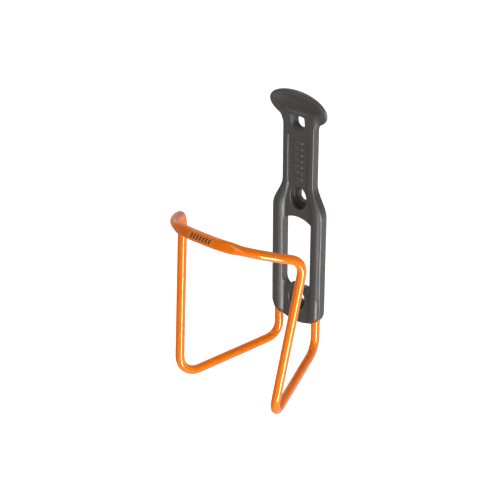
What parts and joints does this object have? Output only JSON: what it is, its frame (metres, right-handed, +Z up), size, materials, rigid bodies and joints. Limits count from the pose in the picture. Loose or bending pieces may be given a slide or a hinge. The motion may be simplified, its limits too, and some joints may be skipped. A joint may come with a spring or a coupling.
{
  "type": "bicycle water bottle cage",
  "caption": "Open bottle cage of bent painted wire held in a moulded resin bracket, with slots to bolt it to a bicycle frame and an oval dish that hooks a drinking bottle's groove.",
  "frame": {"origin": "On the back seat plane that lies against the frame tube, on the centre line, on the lower seat pad, 7 mm below the centre of the lower bolt slot.", "axes": "+X right seen from the bottle side, +Y out of the back into the frame tube, -Y toward the bottle, +Z up along the bracket and the bottle."},
  "size_m": [0.0844, 0.0905, 0.1622],
  "materials": {
    "resin": "satin moulded, fine grain",
    "orange_paint": "gloss powder coat over aluminium"
  },
  "bodies": {
    "root": {"bracket": "resin", "wire": "orange_paint"}
  },
  "joints": []
}
